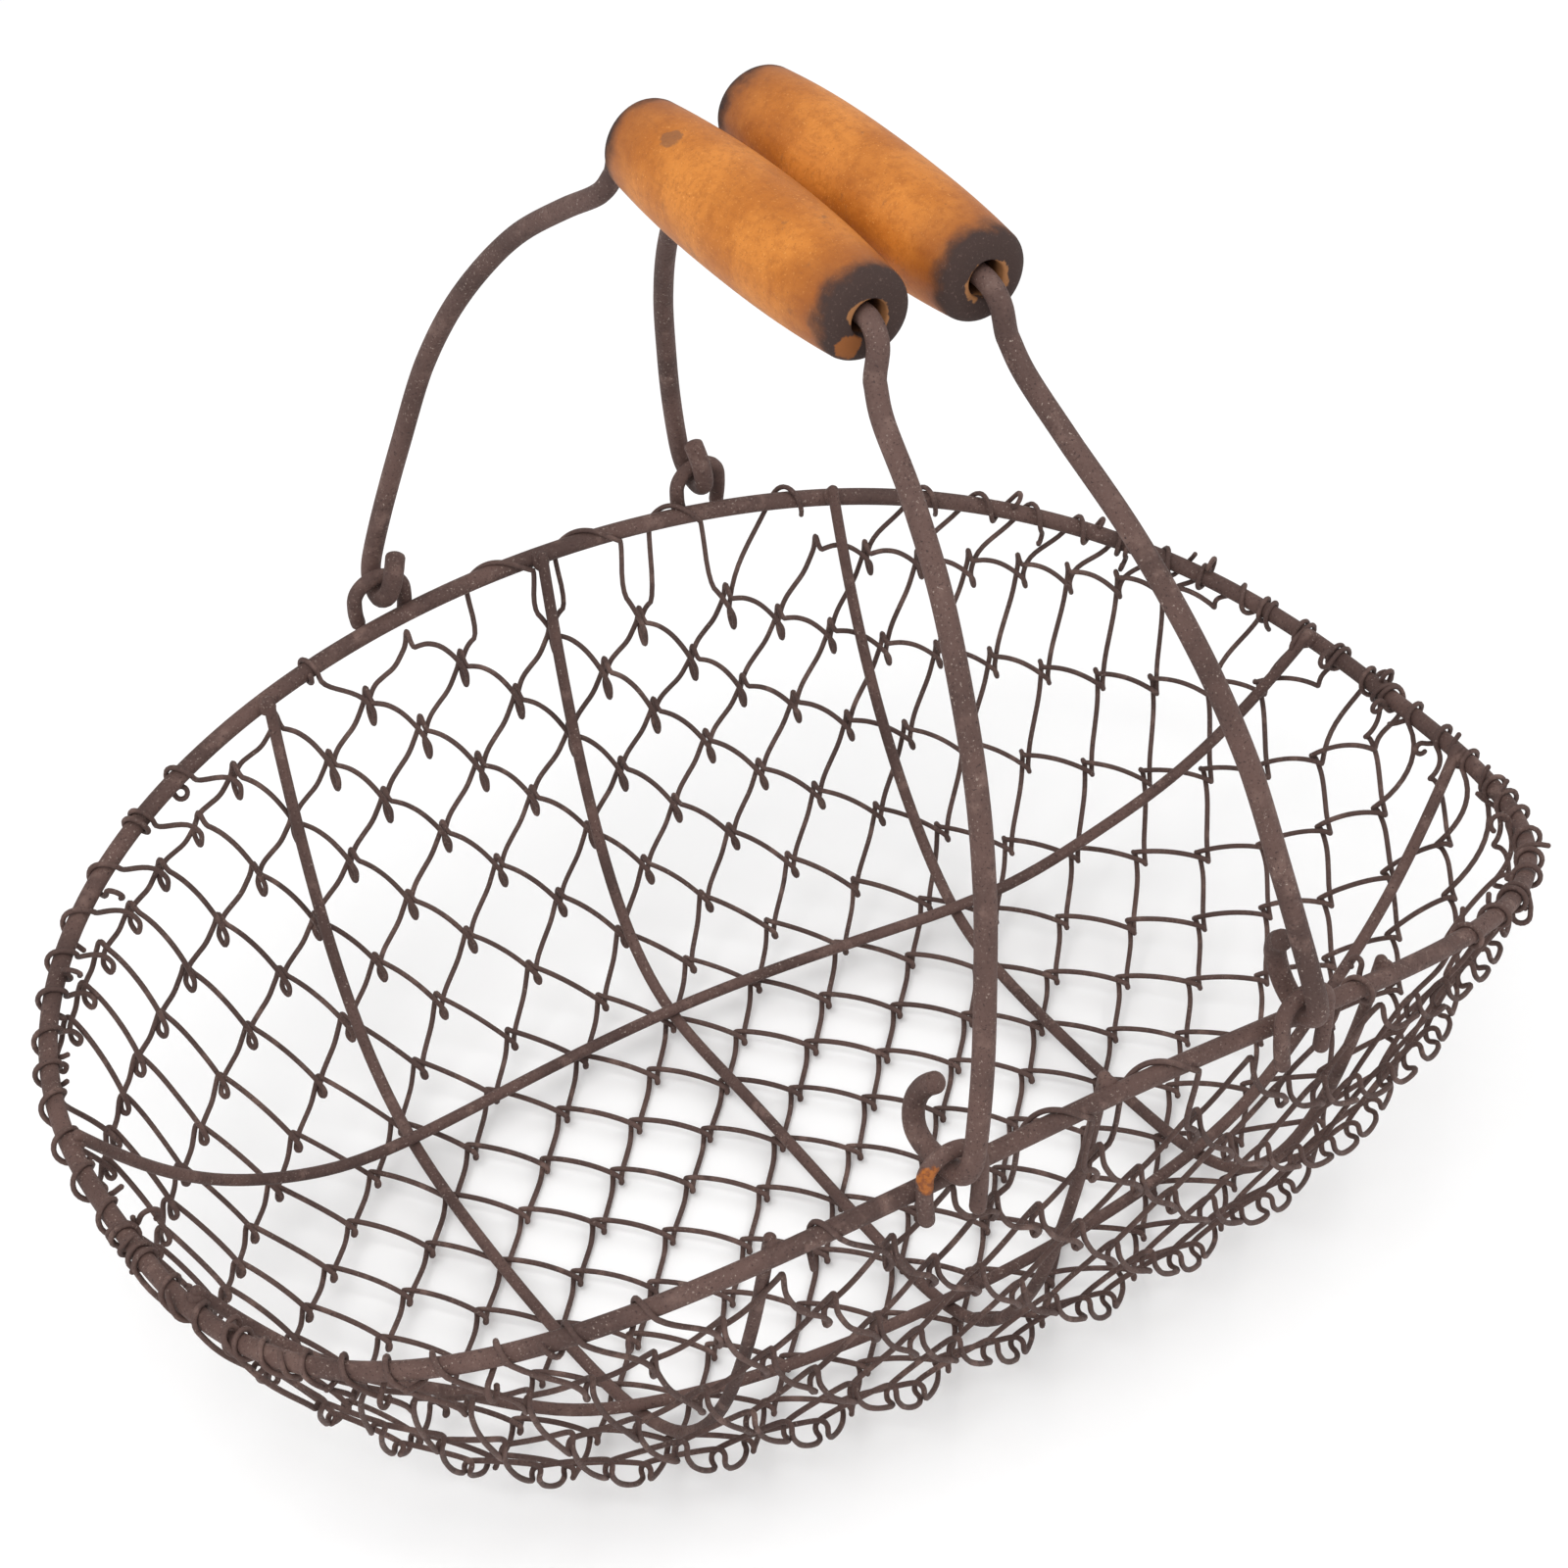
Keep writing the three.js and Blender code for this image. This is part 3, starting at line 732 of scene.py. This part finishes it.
# Hooks from the tip round to the foot of the leg, as (distance in from the leg, height
# above the pivot), on each side of each bail.
HOOKS = {
    ("left", "front"): [
        (0.0164, 0.0152), (0.0192, 0.0124), (0.0212, 0.0086), (0.0214, 0.0046),
        (0.0196, 0.0012), (0.0158, -0.0004), (0.0110, -0.0006), (0.0060, 0.0000),
        (0.0022, 0.0012),
    ],
    ("left", "back"): [
        (0.0106, 0.0140), (0.0108, 0.0100), (0.0106, 0.0062),
        (0.0092, 0.0022), (0.0058, 0.0000), (0.0022, 0.0014),
    ],
    ("right", "front"): [
        (0.0100, 0.0196), (0.0124, 0.0170), (0.0136, 0.0130), (0.0132, 0.0084),
        (0.0116, 0.0038), (0.0086, 0.0006), (0.0050, -0.0002), (0.0020, 0.0014),
    ],
    ("right", "back"): [
        (0.0092, 0.0152), (0.0104, 0.0110), (0.0106, 0.0066),
        (0.0094, 0.0024), (0.0060, 0.0000), (0.0022, 0.0014),
    ],
}


def half_bail(leg_y, height, hook):
    """One half of a bail in its plane, as (distance across, height above the pivot): the
    hook from its tip round its bend, the leg, the shoulder and the neck's bend."""
    bent = np.array([(leg_y - inwards, rise) for inwards, rise in hook])
    shoulder = np.array([
        [leg_y, 0.0045], [leg_y, 0.011], [0.129, 0.027], [0.1245, 0.045],
        [0.1185, 0.066], [0.110, 0.085], [0.099, 0.102], [0.086, 0.1175],
        [0.0705, 0.1305], [0.0568, 0.1405], [NECK_Y, 0.148],
    ])
    turn = np.linspace(0, math.pi / 2, 7)
    neck = np.stack([
        NECK_Y - NECK_BEND + NECK_BEND * np.cos(turn),
        height - NECK_BEND + NECK_BEND * np.sin(turn),
    ], axis=-1)
    return np.vstack([spline(np.vstack([bent, shoulder]), 5), neck])


def build_bail(name):
    """A bail: its two halves in one plane that leans from the pivots to the grip, a little
    uneven, swept by a circle."""
    pivot = joint_place(name + "_bail_swing")
    axis = joint_place(name + "_grip_spin")
    _, high = node_box(name + "_bail")
    leg_y = high[1] - BAIL_RADIUS
    rise = unit(axis - pivot)
    height = np.linalg.norm(axis - pivot)
    back = half_bail(leg_y, height, HOOKS[(name, "back")])
    front = half_bail(leg_y, height, HOOKS[(name, "front")])
    front[:, 0] *= -1
    middle = np.linspace([back[-1, 0], height], [front[-1, 0], height], 8)[1:-1]
    flat = np.vstack([back, middle, front[::-1]])
    flat = smooth(flat, 2)
    across = np.array([0.0, 1.0, 0.0])
    out = np.cross(across, rise)
    path = pivot + flat[:, :1] * across + flat[:, 1:] * rise
    above_leg = np.clip((flat[:, 1:] - 0.028) / 0.04, 0, 1)
    below_neck = np.clip((height - flat[:, 1:]) / 0.03, 0, 1)
    wave = BAIL_WAVE * np.sin(58 * flat[:, :1] + pivot[0] * 40)
    path = path + out * above_leg * below_neck * wave
    bail = wire_mesh(name + "_bail_wire", path, BAIL_RADIUS, around=18, dome_share=BAIL_END_SHARE)
    place_piece(bail, name + "_bail", iron, "brown_wire", name + "_bail")


def build_grip(name):
    """A turned grip: a barrel profile with round shoulders, flat ends and a hole with a
    worn edge, turned about the grip's axis, with slow waves in its radius."""
    axis = joint_place(name + "_grip_spin")
    low, high = node_box(name + "_grip")
    half = (high[1] - low[1]) / 2
    along = np.linspace(-1, 1, 61)
    body_half = half - GRIP_EDGE
    side_r = GRIP_RADIUS - (GRIP_RADIUS - GRIP_SHOULDER_RADIUS) * np.abs(along) ** 2.2
    turn = np.linspace(0, math.pi / 2, 9)[1:]
    edge_r = GRIP_SHOULDER_RADIUS - GRIP_EDGE + GRIP_EDGE * np.cos(turn)
    edge_y = body_half + GRIP_EDGE * np.sin(turn)
    face_r = np.linspace(edge_r[-1], GRIP_HOLE_RADIUS + 0.0005, 6)[1:]
    bevel_r = np.array([GRIP_HOLE_RADIUS + 0.00015, GRIP_HOLE_RADIUS])
    bevel_y = np.array([half - 0.00015, half - 0.0005])
    outer_r = np.concatenate([edge_r, face_r, bevel_r])
    outer_y = np.concatenate([edge_y, np.full(5, half), bevel_y])
    bore_y = np.linspace(half - 0.0005, -half + 0.0005, 20)[1:-1]
    radii = np.concatenate([side_r, outer_r, np.full(18, GRIP_HOLE_RADIUS), outer_r[::-1]])
    y = np.concatenate([along * body_half, outer_y, bore_y, -outer_y[::-1]])
    around = 72
    angle = np.linspace(0, 2 * math.pi, around, endpoint=False)[None, :]
    outside_share = np.clip((radii[:, None] - 0.007) / 0.003, 0, 1)
    wave = np.sin(2 * angle + 40 * y[:, None]) + np.sin(3 * angle - 70 * y[:, None] + axis[0] * 90)
    rounded = radii[:, None] + 0.00010 * wave * outside_share
    vertices = np.stack([
        axis[0] + rounded * np.sin(angle),
        np.broadcast_to((high[1] + low[1]) / 2 + y[:, None], rounded.shape),
        axis[2] + rounded * np.cos(angle),
    ], axis=-1).reshape(-1, 3)
    grip = make_object(name + "_grip_wood", vertices, grid_faces(len(y), around, True))
    inside = half - np.abs(y)
    for attribute, values in (("from_end", inside), ("from_axis", radii)):
        layer = grip.data.attributes.new(attribute, "FLOAT", "POINT")
        layer.data.foreach_set("value", np.repeat(values, around).astype(np.float32))
    material, effect = shaded("stained_" + name + "_grip", wood, bump=0.35)
    attribute_to(material, effect, "from_end", "From End")
    attribute_to(material, effect, "from_axis", "From Axis")
    if name == "left":
        front, top = low[1], axis[2] + GRIP_RADIUS
        bare = (axis[0] - 0.0052, front, axis[2] - 0.0052)
        grime = (axis[0] - 0.0050, high[1] - 0.021, top - 0.0010)
        effect.inputs["Bare Centre"].default_value = bare
        effect.inputs["Grime Centre"].default_value = grime
    place_piece(grip, name + "_grip", material, "stained_wood", name + "_grip")


# ------------------------------------------------------------------------- mesh


def rim_obstacles():
    """Which places of the rim wire ends may use: those clear of the ribs and staples."""
    places = []
    for side in (-1, 1):
        for x in (-CROSS_RIB_X, 0.0, CROSS_RIB_X):
            places.append(((x, side * rim_half_width(x)), RIB_CLEARANCE))
        for end in (-1, 1):
            x = end * long_rib_reach()
            places.append(((x, long_rib_y(x, side)), RIB_CLEARANCE))
            eye = joint_place("right_bail_swing" if end > 0 else "left_bail_swing")[0]
            places.append(((eye, side * rim_half_width(eye)), STAPLE_CLEARANCE))
    free = np.ones(len(RIM_TABLE), bool)
    for (x, y), clearance in places:
        free &= np.hypot(RIM_TABLE[:, 0] - x, RIM_TABLE[:, 1] - y) > clearance
    return free


RIM_FREE = rim_obstacles()


def rim_place(near):
    """The distance along the rim of the free place nearest to a point."""
    away = np.linalg.norm(RIM_TABLE - near, axis=1)
    away[~RIM_FREE] += 1
    return np.argmin(away) / len(RIM_TABLE) * RIM_LENGTH


def arc_table(heights, places):
    """Arc length over a height profile."""
    steps = np.hypot(np.diff(places), np.diff(heights))
    return np.concatenate([[0], np.cumsum(steps)])


GRID_X = np.linspace(0, 1.1 * RIM_HALF_LENGTH, 900)
GRID_Y = np.linspace(0, 1.1 * RIM_HALF_WIDTH, 700)
LENGTH_X = arc_table(bowl_height(GRID_X, 0 * GRID_X), GRID_X)


def mesh_place(along, across):
    """Plan places of mesh points from their distances over the bowl, along then across."""
    x = math.copysign(np.interp(abs(along), LENGTH_X, GRID_X), along)
    lengths = arc_table(bowl_height(np.full_like(GRID_Y, x), GRID_Y), GRID_Y)
    y = math.copysign(np.interp(abs(across), lengths, GRID_Y), across)
    return x, y


def corner_at(row, index):
    """One corner of a spiral: its plan place, and 1 or -1 for a far or a near corner."""
    middle = (row - (SPIRAL_COUNT - 1) / 2) * SPIRAL_PITCH
    side = 1 if (index + row) % 2 == 0 else -1
    across = middle + side * (SPIRAL_PITCH / 2 + HOOK_OVERLAP)
    x, y = mesh_place(index * SPIRAL_PITCH, across)
    return x, y, side


def spiral_corners(row):
    """The corners of a spiral that the bowl holds, from left to right. Both end corners
    point away from the nearer long side."""
    lean = math.copysign(1, row - (SPIRAL_COUNT - 1) / 2)

    def run(index, step):
        found = []
        while True:
            x, y, side = corner_at(row, index)
            if plan_radius(x, y) >= 1 or rim_height(x) - bowl_height(x, y) <= 0.004:
                break
            found.append((x, y, side))
            index += step
        while found[-1][2] == lean:
            found.pop()
        return found

    return run(-1, -1)[::-1] + run(0, 1)


def rim_turns(start, turn_from, turn_to, advance, count, spread=None):
    """A wire wound round the rim: it circles the rim's centre line between two angles,
    measured up from the outer side, while it moves along the rim."""
    share = np.linspace(0, 1, count)
    centre, tangent, out, up = rim_frame(start + advance * share)
    angle = (turn_from + (turn_to - turn_from) * share)[:, None]
    radius = RIM_RADIUS + MESH_RADIUS + WRAP_GAP
    radius = radius * (spread(share)[:, None] if spread else 1)
    return centre + radius * (np.cos(angle) * out + np.sin(angle) * up)


def end_wrap(corner, heading, face, rng):
    """A wire's end: wound about once or twice round the rim, tightly or with a long pitch,
    and lifted off it at the tip or curled into an eyelet."""
    ahead = np.array([heading * SPIRAL_PITCH * LEAD_SHARE, 0, 0])
    start = rim_place(corner + ahead)
    _, tangent, _, _ = rim_frame(np.array([start]))
    way = math.copysign(1, tangent[0, 0]) * heading
    tight = rng.random() < 0.25
    turns = rng.uniform(1.1, 1.9) if tight else rng.uniform(0.75, 1.35)
    pitch = rng.uniform(0.0018, 0.0030) if tight else rng.uniform(0.0050, 0.0100)
    low, high = WRAP_START, WRAP_START + 2 * math.pi * turns
    if face < 0:
        low, high = math.pi - low, math.pi - high
    lift = rng.uniform(0.3, 1.1)
    slack = rng.uniform(0.02, 0.16)

    def spread(share):
        """How far the wire stands off the rim: a little all round, and more at its tip."""
        tip = np.clip((share - 1 + WRAP_TIP_TURN / turns) * turns / WRAP_TIP_TURN, 0, 1)
        return 1 + slack * np.sin(math.pi * share) + lift * tip**2

    wrap = rim_turns(start, low, high, way * pitch * turns, int(22 * turns), spread)
    if rng.random() < 0.4:
        wrap = np.vstack([wrap, curl(wrap, rng.uniform(0.0014, 0.0024), rng.uniform(3.5, 5.2))])
    return wrap


def curl(wire, radius, turn):
    """A small eyelet at a wire's end: an arc that goes on from the wire and bends in and
    down from the rim."""
    ahead = unit(wire[-1] - wire[-2])
    inwards = unit(np.array([-wire[-1, 0], -wire[-1, 1], -0.10]))
    inwards = unit(inwards - np.dot(inwards, ahead) * ahead)
    angle = np.linspace(0, turn, 14)[1:, None]
    return wire[-1] + radius * (np.sin(angle) * ahead + (1 - np.cos(angle)) * inwards)


def lead(start, heading_start, finish, heading_finish):
    """A cubic curve between two points with given headings, without its ends."""
    reach = np.linalg.norm(finish - start) * 0.42
    t = np.linspace(0, 1, 11)[1:-1, None]
    a, b = start, start + unit(heading_start) * reach
    c, d = finish - unit(heading_finish) * reach, finish
    return (1 - t) ** 3 * a + 3 * (1 - t) ** 2 * t * b + 3 * (1 - t) * t**2 * c + t**3 * d


# Between two corners a wire stands off the mesh's middle by these shares of its depth.
STRETCH_SHARES = np.array([0.10, 0.27, 0.5, 0.73, 0.90])
STRETCH_DEPTH = np.array([0.84, 1.02, 1.10, 1.02, 0.84])
# A corner's three points: their depths, and how far each lies beyond the corner.
CORNER_DEPTH = np.array([0.60, 0.0, -0.60])
CORNER_BEYOND = np.array([0.0, 0.38, 0.0])


def mesh_face(x, y, face):
    """How far inside the bowl one face of the mesh lies: on the walls the mesh is thicker
    and hangs away from the ribs, as a smooth bump over the plan radius."""
    out = plan_radius(x, y)
    rise = np.clip((out - 0.55) / 0.2, 0, 1)
    rise = rise * rise * (3 - 2 * rise)
    near_rim = np.clip((1.0 - out) / 0.14, 0, 1)
    outset = MESH_OUTSET + (WALL_OUTSET - MESH_OUTSET) * rise * near_rim
    long_wall = np.clip(np.abs(y) / RIM_HALF_WIDTH - 0.45, 0, 0.3) / 0.3
    depth = MESH_HALF_DEPTH + (WALL_HALF_DEPTH - MESH_HALF_DEPTH) * rise * long_wall
    return -outset - face * depth


def stretch(corner, following):
    """The wire between two corners: it follows the bowl on one face of the mesh, bowed a
    little sideways in plan."""
    (x0, y0, side), (x1, y1, _) = corner, following
    x = x0 + (x1 - x0) * STRETCH_SHARES
    y = y0 + (y1 - y0) * STRETCH_SHARES
    length = math.hypot(x1 - x0, y1 - y0)
    beside = np.array([-(y1 - y0), x1 - x0]) / length
    if side > 0:
        bow = FALLING_BOW * 4 * STRETCH_SHARES * (1 - STRETCH_SHARES)
    else:
        bow = RISING_BOW * np.sin(2 * math.pi * STRETCH_SHARES)
    bow = bow * min(1, length / 0.012)
    x = x + beside[0] * bow
    y = y + beside[1] * bow
    return bowl_point(x, y, mesh_face(x, y, -side * STRETCH_DEPTH))


def knuckle(x, y, side):
    """A spiral's corner: a round bend through the mesh from one face to the other."""
    beyond = side * CORNER_BEYOND * (mesh_face(x, y, -1) - mesh_face(x, y, 1)) / 2
    xs, ys = np.full(3, x), y + beyond
    return bowl_point(xs, ys, mesh_face(xs, ys, side * CORNER_DEPTH))


def spiral_path(row, rng):
    """The whole of one spiral, from the tip of one end to the other."""
    corners = spiral_corners(row)
    uneven = []
    for x, y, side in corners:
        loose = 0.0006 + 0.0012 * max(0, plan_radius(x, y) - 0.6) / 0.4
        dx, dy = wander(x, y, loose)
        dx = dx + rng.normal(0, 0.00035)
        dy = dy + rng.normal(0, 0.00018)
        out = plan_radius(x + dx, y + dy)
        hold = min(1, 0.985 / out)
        uneven.append(((x + dx) * hold, (y + dy) * hold, side))
    outermost = row in (0, SPIRAL_COUNT - 1)
    rim_side = math.copysign(1, row - (SPIRAL_COUNT - 1) / 2)
    parts = []
    for i, (x, y, side) in enumerate(uneven):
        bend = knuckle(x, y, side)
        threaded = None
        if outermost and side == rim_side and 0 < i < len(uneven) - 1:
            threaded = over_rim(bend, side, rng)
        if threaded is not None:
            parts[-1] = parts[-1][:-2]
            bend = threaded
        parts.append(bend)
        if i + 1 < len(uneven):
            run = stretch((x, y, side), uneven[i + 1])
            parts.append(run if threaded is None else run[2:])
    middle = np.vstack(parts)
    first_wrap = end_wrap(middle[0], -1, uneven[0][2], rng)
    last_wrap = end_wrap(middle[-1], 1, -uneven[-1][2], rng)
    start = lead(middle[0], leaving(uneven[0], -1), first_wrap[0], first_wrap[1] - first_wrap[0])
    finish = lead(middle[-1], leaving(uneven[-1], 1), last_wrap[0], last_wrap[1] - last_wrap[0])
    core = smooth(np.vstack([start[::-1][-2:], middle, finish[:2]]), 2)
    return np.vstack([first_wrap[::-1], start[::-1][:-2], core, finish[2:], last_wrap])


def leaving(corner, heading):
    """The direction in which a wire leaves its end corner, over the bowl."""
    x, y, side = corner
    step = 0.001
    ahead = np.array([x + heading * step]), np.array([y - side * step])
    here = bowl_point(np.array([x]), np.array([y]), np.zeros(1))[0]
    return bowl_point(*ahead, np.zeros(1))[0] - here


def over_rim(bend, side, rng):
    """The outermost wires thread round the rim: from the face on which they arrive they
    go over the rim to the other face. None where the rim is out of reach or not free."""
    near = np.linalg.norm(RIM_TABLE - bend.mean(0), axis=1)
    index = int(np.argmin(near))
    if near[index] > THREAD_REACH or not RIM_FREE[index]:
        return None
    start = index / len(RIM_TABLE) * RIM_LENGTH
    _, tangent, _, _ = rim_frame(np.array([start]))
    way = math.copysign(1, tangent[0, 0])
    width = rng.uniform(0.012, 0.018)
    low, high = THREAD_FROM, THREAD_TO
    if side < 0:
        low, high = high, low
    return rim_turns(start - way * width / 2, low, high, way * width, 16)


def build_mesh():
    """The 28 spirals, each one wire."""
    for row in range(SPIRAL_COUNT):
        rng = np.random.default_rng(1000 + row)
        node = f"mesh_spiral_{row + 1:02d}"
        path = spiral_path(row, rng)
        wire = wire_mesh(node + "_wire", path, MESH_RADIUS, around=8)
        place_piece(wire, "basket", thin_iron, "brown_wire", node)


# ------------------------------------------------------------------------ stage

CAMERA_AZIMUTH = math.radians(-31.8)
CAMERA_ELEVATION = math.radians(37.37)
CAMERA_ROLL = math.radians(-1.23)
CAMERA_TARGET = np.array([-0.0029, 0.0026, 0.1255])
CAMERA_DISTANCE = 1.0
CAMERA_LENS = 98.54


def build_camera():
    """A camera that looks at its target from the given azimuth and elevation."""
    data = bpy.data.cameras.new("camera")
    data.lens = CAMERA_LENS
    data.clip_start = 0.05
    data.clip_end = 50
    camera = bpy.data.objects.new("camera", data)
    bpy.context.scene.collection.objects.link(camera)
    sin_a, cos_a = math.sin(CAMERA_AZIMUTH), math.cos(CAMERA_AZIMUTH)
    sin_e, cos_e = math.sin(CAMERA_ELEVATION), math.cos(CAMERA_ELEVATION)
    back = np.array([sin_a * cos_e, -cos_a * cos_e, sin_e])
    level = np.array([cos_a, sin_a, 0.0])
    upright = np.cross(back, level)
    right = level * math.cos(CAMERA_ROLL) + upright * math.sin(CAMERA_ROLL)
    up = np.cross(back, right)
    place = CAMERA_TARGET + back * CAMERA_DISTANCE
    rows = [[right[k], up[k], back[k], place[k]] for k in range(3)]
    camera.matrix_world = Matrix(rows + [[0, 0, 0, 1]])
    bpy.context.scene.camera = camera


def area_light(name, place, target, size, power):
    """A square soft light aimed at a point."""
    data = bpy.data.lights.new(name, "AREA")
    data.size = size
    data.energy = power
    light = bpy.data.objects.new(name, data)
    light.location = place
    light.rotation_euler = (Vector(target) - Vector(place)).to_track_quat("-Z", "Y").to_euler()
    bpy.context.scene.collection.objects.link(light)


def build_stage():
    """A pale floor, a pale world and soft lights."""
    size = 30.0
    corners = [(-size, -size, 0), (size, -size, 0), (size, size, 0), (-size, size, 0)]
    floor = make_object("floor", np.array(corners), [[0, 1, 2, 3]])
    material = bpy.data.materials.new("pale_floor")
    material.use_nodes = True
    shader = material.node_tree.nodes["Principled BSDF"]
    shader.inputs["Base Color"].default_value = (0.93, 0.93, 0.93, 1)
    shader.inputs["Roughness"].default_value = 0.9
    shader.inputs["Specular IOR Level"].default_value = 0.1
    floor.data.materials.append(material)
    world = bpy.data.worlds.new("studio")
    world.use_nodes = True
    background = world.node_tree.nodes["Background"]
    background.inputs["Color"].default_value = (1, 1, 1, 1)
    background.inputs["Strength"].default_value = 0.82
    bpy.context.scene.world = world
    area_light("key", (-0.9, -0.7, 1.6), (0, 0, 0.1), 1.2, 18)
    area_light("fill", (1.2, -0.6, 1.1), (0, 0, 0.1), 1.4, 6)
    bpy.context.scene.view_settings.view_transform = "Standard"


# --------------------------------------------------------------------- assembly

build_rim()
build_ribs()
rusty_iron, rusty_effect = shaded("brown_wire_scuffed", paint, bump=0.55)
left_pivot = joint_place("left_bail_swing")
staple_low, staple_high = node_box("staple_left_front")
rusty_effect.inputs["Rust Centre"].default_value = (
    staple_low[0] + STAPLE_RADIUS * 0.6,
    staple_low[1] + STAPLE_RADIUS * 0.6,
    left_pivot[2] + 0.001,
)
for end_name, end in (("left", -1), ("right", 1)):
    for side_name, side in (("front", -1), ("back", 1)):
        scuffed = end < 0 and side < 0
        staple_node = f"staple_{end_name}_{side_name}"
        build_staple(staple_node, end, side, rusty_iron if scuffed else iron)
    build_bail(end_name)
    build_grip(end_name)
build_mesh()
build_stage()
build_camera()
